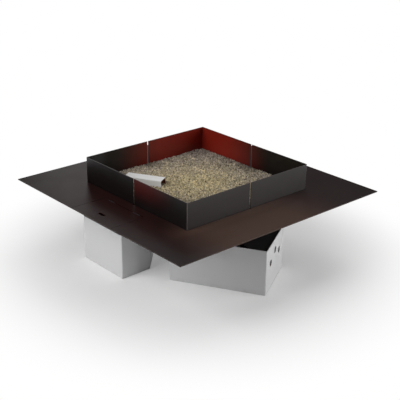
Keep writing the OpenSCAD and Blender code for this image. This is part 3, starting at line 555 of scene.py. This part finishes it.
# %% [markdown]
# ## Enamel, plastic, rubber and ceramic
# These are not metal: their colour sits in the body and the gloss on top. Each could have a node tree of its
# own; one recipe will do, with its own colour, gloss and small relief for each, so that none of them reads as
# the same grey plastic. The pilot cover stands turned on the bed, so a Mapping node turns the coordinates with
# it, and the soot inside can be told from along, across and up.

# %% Enamel and moulded parts
COVER_TURN = math.radians(30)
COVER_L, COVER_W, COVER_WALL = 186 * MM, 58 * MM, 1.2 * MM
COVER_ALONG, COVER_ACROSS = -230 * MM, -68 * MM
COVER_AT = (
    COVER_ALONG * math.cos(COVER_TURN) - COVER_ACROSS * math.sin(COVER_TURN),
    COVER_ALONG * math.sin(COVER_TURN) + COVER_ACROSS * math.cos(COVER_TURN),
    0.0,
)


def moulded(name, colour, rough, grain, relief, speckle=0.06):
    """Coloured right through, with slow paler clouds (`speckle`) and a fine grain of that width and relief."""
    made = Finish(name)
    fine = made.noise(grain, 3, 0.6)
    slow = made.noise(30 * MM, 2)
    paler = tuple(min(1.0, c * 1.6 + 0.01) for c in colour)
    made.base = made.mix(colour, paler, slow * speckle * 4)
    made.set(Base_Color=made.base, Roughness=rough - 0.06 + fine * 0.12)
    made.bump(fine, relief)
    return made


def white_steel():
    """White enamel; inside the pilot cover soot and heat darken it to a red brown towards the open end."""
    made = moulded("white_steel", (0.93, 0.93, 0.92), 0.34, 6 * MM, 0.02 * MM, 0.02)
    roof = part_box("pilot_cover")[1].z - COVER_WALL
    wall = COVER_W / 2 - COVER_WALL
    turned = made.node(
        "ShaderNodeMapping",
        {"vector_type": "TEXTURE"},
        {"Vector": made.place(), "Location": COVER_AT, "Rotation": (0, 0, COVER_TURN)},
    )
    along, across, up = made.axes(turned)
    within = 1 - abs(across).fade(wall - 0.2 * MM, wall + 0.2 * MM)
    below = 1 - up.fade(roof - 0.4 * MM, roof)
    soot = within * below * along.fade(-40 * MM, 90 * MM)
    return made.set(Base_Color=made.mix(made.base, (0.30, 0.10, 0.05), soot))


def rubber():
    return moulded("rubber", (0.018, 0.018, 0.019), 0.75, 1.2 * MM, 0.05 * MM, 0.2)


def knob_plastic():
    return moulded("knob_plastic", (0.017, 0.017, 0.018), 0.46, 0.7 * MM, 0.03 * MM, 0.1)


def red_plastic():
    return moulded("red_plastic", (0.40, 0.022, 0.016), 0.3, 2.5 * MM, 0.01 * MM)


def ceramic():
    return moulded("ceramic", (0.82, 0.80, 0.75), 0.2, 4 * MM, 0.01 * MM)


print("pilot cover stands at", short(COVER_AT))

# %% [markdown]
# ## Crushed stone
# Every stone carries two numbers on its own points: its lightness, with painted firelight and painted shade
# in it, and its warmth, partly its own tan and partly painted firelight.
# The finish reads them as attributes, so ten thousand stones differ without ten thousand materials.

# %% Stone finish
GREY_STONE = (0.055, 0.046, 0.041), (0.80, 0.69, 0.60)
# The light end of the tan colours is the painted colour of firelight.
TAN_AND_FIRELIT_STONE = (0.12, 0.085, 0.045), (1.0, 0.86, 0.50)
CREVICE = (0.02, 0.018, 0.016)


def stone():
    made = Finish("stone")
    names = "shade", "tan"
    # the second attribute is the stone's own tan and painted firelight
    shade, warmth_and_firelight = (made.node("ShaderNodeAttribute", {"attribute_name": name}, out="Fac") for name in names)
    grain = made.noise(1.3 * MM, 3, 0.7)
    body = made.mix(made.mix(*GREY_STONE, shade), made.mix(*TAN_AND_FIRELIT_STONE, shade), warmth_and_firelight)
    made.set(
        Base_Color=made.mix(body, CREVICE, (1 - grain.fade(0.28, 0.6)) * 0.35),
        Roughness=0.7 + made.cells(3 * MM) * 0.2,
    )
    made.bump(grain, 0.3 * MM)
    return made


print("stones run from", GREY_STONE[0], "to", TAN_AND_FIRELIT_STONE[1])

# %% [markdown]
# ## Finishes for the CAD nodes
# The record names a material slot for every node, and each slot bears the name of one of the finishes above.
# Materials could be dropped on the nodes by hand, but a loop over the record can't forget one. A CAD node's
# shape is never touched: only its material slot is filled.

# %% Give every CAD node its finish
FINISHES = {
    made.__name__: made().material
    for made in (
        top_coat, guard_coat, leg_coat, black_coat, zinc, stainless, brass, copper,
        white_steel, rubber, knob_plastic, red_plastic, ceramic, stone,
    )
}
SLOT_OF = {part["node"]: part["material_slot"] for part in frame["record"]["subparts"]}
for name, node in frame["nodes"].items():
    node.data.materials.clear()
    node.data.materials.append(FINISHES[SLOT_OF[name]])
print(len(FINISHES), "finishes for", len(SLOT_OF), "nodes")

# %% [markdown]
# ## Making pieces
# Every piece below is a mesh of its own. It gets its slot and finish, rides on the body of the node that it
# stands for and hides that node, unless it is only a mark on it. Blender shades a mesh flat or smooth; pressed
# and turned parts need both, smooth over their rounds and sharp across their edges.

# %% Piece helpers


def dress(piece, node, slot=None, replace=True):
    """Links a piece into the scene in the place of a CAD node, with that node's body and finish."""
    slot = slot or SLOT_OF[node]
    bpy.context.scene.collection.objects.link(piece)
    piece.data.materials.append(FINISHES[slot])
    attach(piece, frame["nodes"][node].parent.name.removeprefix("body:"))
    if replace:
        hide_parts(node)
    return piece


def smooth_but_sharp(mesh, sharp_from):
    """Smooth shading, except across edges that bend by more than `sharp_from` degrees."""
    mesh.polygons.foreach_set("use_smooth", np.ones(len(mesh.polygons), bool))
    mesh.set_sharp_from_angle(angle=math.radians(sharp_from))


print("a piece takes body and finish from its node, such as", SLOT_OF["access_lid"], "for the lid")

# %% [markdown]
# ## Sheet metal with real edges
# A drawn sheet has perfect corners; a cut and coated one has an edge radius of half a millimetre, and that
# radius is what catches the light. The sheets could be built anew, but their holes and folds are right as they
# are. So a copy of the CAD mesh is merged, its flat faces are joined again, and a Bevel modifier rounds what is
# sharper than 30 degrees. The copy then stands for the node.

# %% Softened sheet parts
EDGE_ANGLE = 30
SHEETS = {  # edge radius of each sheet part in millimetres
    "table_top": 0.5, "access_lid": 0.5,
    "guard_front_left": 0.45, "guard_front_right": 0.45, "guard_rear_right": 0.45, "guard_rear_left": 0.45,
    "leg_front": 0.5, "leg_right": 0.5, "leg_left": 0.5,
    "pilot_cover": 0.4, "port_wall": 0.3,
    "control_panel": 0.3, "control_tray": 0.3, "burner_housing": 0.4, "service_deck": 0.4, "port_plate": 0.3,
}


def softened(node, radius):
    """Copy of a CAD node: points merged, coplanar triangles joined, sharp edges rounded by `radius`."""
    shape = bmesh.new()
    shape.from_mesh(frame["nodes"][node].data)
    bmesh.ops.remove_doubles(shape, verts=shape.verts, dist=0.01 * MM)
    bmesh.ops.dissolve_limit(
        shape, angle_limit=math.radians(0.5), verts=shape.verts, edges=shape.edges, delimit=set()
    )
    mesh = bpy.data.meshes.new(node + "_sheet")
    shape.to_mesh(mesh)
    shape.free()
    smooth_but_sharp(mesh, EDGE_ANGLE)
    piece = bpy.data.objects.new(node + "_sheet", mesh)
    edge = piece.modifiers.new("edge radius", "BEVEL")
    edge.width, edge.segments = radius * MM, 2
    edge.limit_method, edge.angle_limit = "ANGLE", math.radians(EDGE_ANGLE)
    edge.harden_normals = True
    return dress(piece, node)


for node, radius in SHEETS.items():
    made = softened(node, radius)
    print(made.name, len(made.data.polygons), "faces")

# %% [markdown]
# ## A floor under the stones
# The real bed is poured gravel: angular, 7 to 13 mm, lying loose and a little uneven, with dark gaps between.
# Filling it to the bottom would take far too many stones, so a low dark floor lies just over the pan's rim and
# the guard's flange, and two layers of loose stones lie on it.

# %% Bed floor
BED_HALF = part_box("stone_bed")[1].x
BED_TOP = TOP_Z + 7 * MM  # the stones stand a little above the table's top
FLOOR_TOP, FLOOR_BASE = BED_TOP - 2.9 * MM, TOP_Z + GUARD_T + 0.1 * MM


def tint(piece, shade, tan):
    """Stores the two numbers that the stone finish reads, one of each for every point."""
    for key, value in (("shade", shade), ("tan", tan)):
        attribute = piece.data.attributes.new(key, "FLOAT", "POINT")
        attribute.data.foreach_set("value", np.asarray(value, np.float32))


def stone_piece(name, points, faces):
    mesh = bpy.data.meshes.new(name)
    mesh.from_pydata(points.tolist(), [], faces.tolist())
    return bpy.data.objects.new(name, mesh)


def bed_floor(cells=120, unevenness=0.5 * MM):
    """A closed slab: its top is the height field z = FLOOR_TOP + noise over the square bed, level at the rim,
    and its base is the same grid at FLOOR_BASE. Walls join the two rims."""
    line = np.linspace(-BED_HALF, BED_HALF, cells + 1)
    x, y = np.meshgrid(line, line)
    z = FLOOR_TOP + seeds.uniform(-1, 1, x.shape) * unevenness
    z[0] = z[-1] = z[:, 0] = z[:, -1] = FLOOR_TOP
    top = np.stack([x, y, z], -1).reshape(-1, 3)
    low = top.copy()
    low[:, 2] = FLOOR_BASE
    index = np.arange(len(top)).reshape(cells + 1, cells + 1)
    quads = np.stack([index[:-1, :-1], index[:-1, 1:], index[1:, 1:], index[1:, :-1]], -1).reshape(-1, 4)
    rim = np.concatenate([index[0, :-1], index[:-1, -1], index[-1, :0:-1], index[:0:-1, 0]])
    after = np.roll(rim, -1)
    walls = np.stack([after, rim, rim + len(top), after + len(top)], -1)
    faces = np.concatenate([quads, quads[:, ::-1] + len(top), walls])
    piece = stone_piece("stone_bed_floor", np.concatenate([top, low]), faces)
    tint(piece, np.full(2 * len(top), 0.32), np.full(2 * len(top), 0.4))
    return dress(piece, "stone_bed")


slab = bed_floor()
print(slab.name, len(slab.data.polygons), "faces, top at", round(FLOOR_TOP, 4))

# %% [markdown]
# ## One stone
# A stone could be a cube with displacement, but that takes hundreds of faces. An icosahedron is the roundest
# body with few faces: its twelve corners will be pushed in or out at random before it is squashed and turned,
# so that no two are alike, and twenty faces are few enough to have thousands of them.

# %% One stone
GOLDEN = (1 + 5**0.5) / 2


def icosahedron():
    """Corners (0, +-1, +-golden) in cyclic order, brought to distance 1, and the twenty triples of corners that
    are all neighbours of each other, each in the order that turns it outwards."""
    signs = np.array([(a, b * GOLDEN) for a in (-1, 1) for b in (-1, 1)], float)
    row = np.insert(signs, 0, 0, 1)
    corner = np.concatenate([row, np.roll(row, 1, 1), np.roll(row, 2, 1)])
    near = np.linalg.norm(corner[:, None] - corner[None], axis=2) < 2.1
    a, b, c = np.nonzero(near[:, :, None] & near[None] & near[:, None])
    face = np.stack([a, b, c], 1)[(a < b) & (b < c)]
    first, second, third = (corner[face[:, k]] for k in range(3))
    outward = np.einsum("fi,fi->f", np.cross(second - first, third - first), first + second + third)
    face[outward < 0] = face[outward < 0][:, ::-1]
    return corner / np.linalg.norm(corner[0]), face


def random_turns(count):
    """Rotation matrices from random unit quaternions (w, x, y, z)."""
    q = seeds.normal(size=(4, count))
    w, x, y, z = q / np.linalg.norm(q, axis=0)
    return np.array([
        [1 - 2 * (y * y + z * z), 2 * (x * y - z * w), 2 * (x * z + y * w)],
        [2 * (x * y + z * w), 1 - 2 * (x * x + z * z), 2 * (y * z - x * w)],
        [2 * (x * z - y * w), 2 * (y * z + x * w), 1 - 2 * (x * x + y * y)],
    ]).transpose(2, 0, 1)


CORNERS, FACES = icosahedron()
print("one stone:", len(CORNERS), "corners,", len(FACES), "faces")

# %% [markdown]
# ## Two layers of loose stones
# Particles or falling bodies could scatter the stones; plain arrays give the same bed at every run and take a
# second. All stones of a layer are worked out at once: every corner is place + turn . (radius * stretch *
# push * corner). Near the middle the stones are painted lighter and warmer, as firelight that fades away from
# the middle, and next to the four slots they are painted darker, as shade. None may stand in the pilot cover.

# %% Loose stones
# reach of the painted shade on the stones beside each slot
SLOT_SHADE_REACH = 90 * MM


def scattered(pitch, half, jitter=0.42):
    """Points on a square grid of that pitch, each shifted at random by up to jitter of it."""
    line = np.arange(-half, half + pitch / 2, pitch)
    even = np.stack(np.meshgrid(line, line), -1).reshape(-1, 2)
    return even + seeds.uniform(-jitter, jitter, even.shape) * pitch


def in_cover(points, margin):
    """True where a point lies inside the pilot cover's footprint, grown by margin."""
    cos, sin = math.cos(COVER_TURN), math.sin(COVER_TURN)
    offset = points - np.array(COVER_AT[:2])
    along, across = abs(offset @ np.array([cos, sin])), abs(offset @ np.array([-sin, cos]))
    return (along < COVER_L / 2 + margin) & (across < COVER_W / 2 + margin)


def stone_layer(name, pitch, size, level, unevenness):
    """One layer of stones of `size` (least, most) round a level that swells as a product of two waves."""
    most = size[1] / 2
    at = scattered(pitch, BED_HALF - most * 0.7)
    at = np.clip(at, -BED_HALF + most * 0.75, BED_HALF - most * 0.75)
    at = at[~in_cover(at, 1 * MM)]
    count = len(at)
    swell = np.sin(at[:, 0] * 23 + 1) * np.cos(at[:, 1] * 19 - 2)
    height = level + (swell + seeds.uniform(-1, 1, count)) * unevenness
    radius = seeds.uniform(*size, count) / 2
    stretch = seeds.uniform((0.9, 0.7, 0.5), (1.15, 1.0, 0.85), (count, 3))
    push = seeds.uniform(0.74, 1.16, (count, len(CORNERS), 1))
    body = CORNERS * push * stretch[:, None] * radius[:, None, None]
    place = np.concatenate([at, height[:, None]], 1)
    points = np.einsum("nij,nkj->nki", random_turns(count), body) + place[:, None]
    faces = FACES + len(CORNERS) * np.arange(count)[:, None, None]
    piece = stone_piece(name, points.reshape(-1, 3), faces.reshape(-1, 3))
    from_middle = np.hypot(*at.T)
    # random lightness of each stone, less a painted firelight that is brightest in the middle
    shade = np.clip(seeds.normal(0.74, 0.22, count) - 0.60 * from_middle, 0.05, 1)
    # painted shade: stones are darker the nearer they lie to a slot
    to_slot = np.hypot(abs(at).max(1) - BED_HALF, abs(at).min(1))
    shade *= np.clip(0.12 + to_slot / SLOT_SHADE_REACH, 0, 1)
    # warmth: partly each stone's own tan, mostly painted firelight falling off from the middle
    tan = np.clip(1.05 - from_middle / 0.42 + seeds.normal(0, 0.18, count), 0, 1)
    tint(piece, np.repeat(shade, len(CORNERS)), np.repeat(tan, len(CORNERS)))
    dress(piece, "stone_bed")
    print(name, count, "stones,", len(FACES) * count, "faces")


stone_layer("stones_lower", 9.0 * MM, (8 * MM, 13 * MM), BED_TOP - 4.5 * MM, 0.8 * MM)
stone_layer("stones_upper", 9.6 * MM, (7 * MM, 12 * MM), BED_TOP - 0.5 * MM, 1.6 * MM)

# %% [markdown]
# ## Profiles carried along a path
# Springs, scales and threaded rods are one idea: a small closed outline is carried along a path, one ring of
# points per step, and neighbouring rings are joined by four-sided faces. The first and last ring are closed
# with one face each. A curve with a bevel would make tubes too, but not ones whose outline changes on the way.
# Here only the rule that places the rings differs from piece to piece.

# %% Swept surfaces


def grid(x, y, z):
    """rings[step, corner] = (x, y, z), each of them a number, a column of steps, a row of corners or both."""
    return np.stack(np.broadcast_arrays(x, y, z), -1)


def circle(corners):
    """Angles of a full turn in equal parts."""
    return np.linspace(0, 2 * np.pi, corners, endpoint=False)


def swept(name, rings, smooth=True):
    """Closed tube through rings[step, corner]: side faces join each step to the next, a cap closes each end."""
    index = np.arange(rings[..., 0].size).reshape(rings.shape[:2])
    after = np.roll(index, -1, axis=1)
    sides = np.stack([index[:-1], index[1:], after[1:], after[:-1]], -1).reshape(-1, 4)
    caps = [index[0].tolist(), index[-1, ::-1].tolist()]
    mesh = bpy.data.meshes.new(name)
    mesh.from_pydata(rings.reshape(-1, 3).tolist(), [], sides.tolist() + caps)
    shape = bmesh.new()
    shape.from_mesh(mesh)
    bmesh.ops.recalc_face_normals(shape, faces=shape.faces)
    shape.to_mesh(mesh)
    shape.free()
    if smooth:
        smooth_but_sharp(mesh, 40)
    return bpy.data.objects.new(name, mesh)


def middle_of(node):
    low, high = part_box(node)
    return (low.x + high.x) / 2, (low.y + high.y) / 2


print("knob's axis at", short(middle_of("control_knob")))

# %% [markdown]
# ## Button spring
# The red button stands on a small compression spring. The drawing gives it an even pitch; a wound one closes
# up at both ends so that it stands square. A Screw modifier would wind an even coil again, so the wire follows
# a helix whose pitch changes.

# %% Spring
SPRING_LOW, SPRING_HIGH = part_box("igniter_spring")
SPRING_H = SPRING_HIGH.z - SPRING_LOW.z
SPRING_TURNS, CLOSED_TURNS = 5, 0.9
WIRE_R = 0.6 * MM


def spring_coil(steps=48, around=10):
    """Helix round the button's axis: x, y = axis + r (cos a, sin a), and the height is the running sum of the
    pitch, which is one wire thickness in the closed turns and more between them. The wire is a circle in the
    plane through the axis, so r = R + w cos b and the height gains w sin b."""
    x, y = middle_of("igniter_spring")
    turn = np.linspace(0, SPRING_TURNS, steps * SPRING_TURNS + 1)
    from_end = np.minimum(turn, SPRING_TURNS - turn)
    pitch = 2.06 * WIRE_R / SPRING_H + 0.5 * np.clip((from_end - CLOSED_TURNS) / 0.5, 0, 1)
    climb = np.append(0, np.cumsum((pitch[1:] + pitch[:-1]) / 2))
    height = SPRING_LOW.z + WIRE_R + climb / climb[-1] * (SPRING_H - 2 * WIRE_R)
    angle, wire = 2 * np.pi * turn[:, None], circle(around)
    out = (SPRING_HIGH.x - SPRING_LOW.x) / 2 - WIRE_R + WIRE_R * np.cos(wire)
    rings = grid(x + out * np.cos(angle), y + out * np.sin(angle), height[:, None] + WIRE_R * np.sin(wire))
    return dress(swept("igniter_spring_coil", rings), "igniter_spring")


spring = spring_coil()
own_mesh(spring)

# %% [markdown]
# ## Marks of the gas control
# The knob has a groove for a pale pointer, and the panel round it carries a crescent that grows from thin to
# thick as the gas opens, with a dot where it is shut. The crescent says small and large without a word. Marks
# could be a pattern in the material, but as thin raised shapes they stay crisp and belong to the mesh.

# %% Pointer, crescent and dot
KNOB_X, KNOB_Y = middle_of("control_knob")
KNOB_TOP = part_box("control_knob")[1].z
PANEL_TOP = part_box("control_panel")[1].z
POINTER_TIP, POINTER_TAIL, POINTER_HALF_W = -16.9 * MM, -5.8 * MM, 0.65 * MM
CRESCENT_R, THIN, THICK = 25.5 * MM, 0.5 * MM, 4.2 * MM
CRESCENT_FROM, CRESCENT_TO = math.radians(-62) + 0.42, math.radians(120)
DOT_R, DOT_Y = 1.3 * MM, -27.0 * MM


def pointer(around=24):
    """Bar in the groove: its outline is two half circles joined by straight sides, and its top edge is rounded
    by a quarter circle, so that the outline shrinks by 1 - cos while it rises by sin."""
    edge = np.array([0.35, 0.7, 1.0]) * np.pi / 2
    inset = np.array([0, 0, *(0.35 * (1 - np.cos(edge)))]) * MM
    level = np.array([-0.75, -0.70, *(0.3 * np.sin(edge) - 0.35)]) * MM
    turn = circle(around)
    end = np.where(np.sin(turn) >= 0, POINTER_TAIL - POINTER_HALF_W, POINTER_TIP + POINTER_HALF_W)
    width = (POINTER_HALF_W - inset)[:, None]
    rings = grid(
        KNOB_X + width * np.cos(turn),
        KNOB_Y + end + width * np.sin(turn),
        KNOB_TOP + level[:, None],
    )
    return dress(swept("knob_pointer", rings), "control_knob", "white_steel", replace=False)


def crescent(steps=72):
    """Flat band round the knob: its inner radius is constant and its width grows from THIN to THICK with the
    angle. Both ends are rounded off by a square root, and its section is a low trapezium."""
    share = np.linspace(0, 1, steps)
    angle = (CRESCENT_FROM + (CRESCENT_TO - CRESCENT_FROM) * share)[:, None]
    ends = np.sqrt(np.clip(np.minimum(share / 0.02, (1 - share) / 0.05), 0.01, 1))
    width = THIN + (THICK - THIN) * share
    across, height = np.array([-0.5, -0.46, 0.46, 0.5]), np.array([0.0, 0.16, 0.16, 0.0]) * MM
    radius = (CRESCENT_R + width / 2)[:, None] + (width * ends)[:, None] * across
    rings = grid(KNOB_X + radius * np.cos(angle), KNOB_Y + radius * np.sin(angle), PANEL_TOP + height)
    return dress(swept("gas_crescent", rings, smooth=False), "control_panel", "white_steel", replace=False)


def shut_dot():
    """Low dome beside the knob where the pointer rests: rings of radius r cos t at height h sin t."""
    turn = circle(24)
    rise = np.linspace(0, 0.96 * np.pi / 2, 6)[:, None]
    radius = DOT_R * np.cos(rise)
    rings = grid(
        KNOB_X + radius * np.cos(turn),
        KNOB_Y + DOT_Y + radius * np.sin(turn),
        PANEL_TOP + 0.2 * MM * np.sin(rise),
    )
    return dress(swept("gas_shut_dot", rings), "control_panel", "white_steel", replace=False)


for mark in (pointer(), crescent(), shut_dot()):
    print(mark.name, len(mark.data.polygons), "faces")

# %% [markdown]
# ## Where the rods stand
# Under the top, nuts hold the guard, the burner housing and the control tray on plain drawn rods. A node may
# hold several rods in one mesh of loose triangles, so it is first split into islands: points in the same place
# are one point, and points that share a face belong together. Blender's own tool for loose parts would cut up
# the frame, and this only reads it.

# %% Islands


def islands(node):
    """Lowest and highest corner of each separate solid of a node: points that share a face take the lowest
    label among them, again and again, until no label changes."""
    mesh = frame["nodes"][node].data
    points = np.empty(len(mesh.vertices) * 3)
    corners = np.empty(len(mesh.loops), int)
    mesh.vertices.foreach_get("co", points)
    mesh.loops.foreach_get("vertex_index", corners)
    points = points.reshape(-1, 3)
    _, same = np.unique(points.round(6), axis=0, return_inverse=True)
    faces = same.ravel()[corners].reshape(-1, 3)
    label = np.arange(faces.max() + 1)
    while True:
        lower = label.copy()
        np.minimum.at(lower, faces.ravel(), np.repeat(label[faces].min(1), 3))
        if (lower == label).all():
            break
        label = lower
    mine = label[same.ravel()]
    return [(points[mine == one].min(0), points[mine == one].max(0)) for one in np.unique(mine)]


RODS = {node: islands(node) for node in ("tray_studs", "housing_studs", "guard_screws")}
print({node: len(boxes) for node, boxes in RODS.items()})

# %% [markdown]
# ## Threaded rods
# A thread is a groove that climbs one pitch in each turn, so the radius is the rod's own less a zigzag of
# height / pitch - turn. A Screw modifier could wind a tooth up a rod as well; the formula keeps foot, groove,
# smooth neck and screw head in one closed skin.

# %% Threads
PITCH, THREAD_DEPTH = 0.9 * MM, 0.35 * MM
PLAIN, RUN_OUT = 3 * MM, 1 * MM
POINT, POINT_H = 0.3 * MM, 0.5 * MM
HAIR = 0.01 * MM
SCREW_HEAD = 2.5 * MM


def rod(low, high, head, around=20):
    """Rings up one rod: radius = shank - depth * |zigzag(height / pitch - turn)|, smooth near the top, where a
    countersunk head widens it by as much as it rises."""
    x, y = (low[:2] + high[:2]) / 2
    neck = high[2] - head
    last = [neck - HAIR, high[2] - HAIR, high[2]] if head else [neck - HAIR]
    height = np.append(np.arange(low[2], neck, PITCH / 4), last)[:, None]
    angle = circle(around)
    zigzag = abs(2 * ((height / PITCH - angle / (2 * np.pi)) % 1) - 1)
    depth = THREAD_DEPTH * np.clip((neck - PLAIN - height) / RUN_OUT, 0, 1)
    point = POINT * (1 - np.clip((height - low[2]) / POINT_H, 0, 1))
    flare = np.clip(height - neck, 0, head)
    radius = (high[0] - low[0]) / 2 - head - depth * zigzag - point + flare
    return grid(x + radius * np.cos(angle), y + radius * np.sin(angle), height)


def threaded(node, head=0.0):
    """All rods of a node in one mesh: each is swept by itself, and their faces are put together."""
    shape = bmesh.new()
    for low, high in RODS[node]:
        one = swept(node, rod(low, high, head)).data
        shape.from_mesh(one)
        bpy.data.meshes.remove(one)
    mesh = bpy.data.meshes.new(node + "_threaded")
    shape.to_mesh(mesh)
    shape.free()
    smooth_but_sharp(mesh, 50)
    print(node, len(RODS[node]), "rods,", len(mesh.polygons), "faces")
    return dress(bpy.data.objects.new(node + "_threaded", mesh), node)


threaded("tray_studs")
threaded("housing_studs")
threaded("guard_screws", SCREW_HEAD)
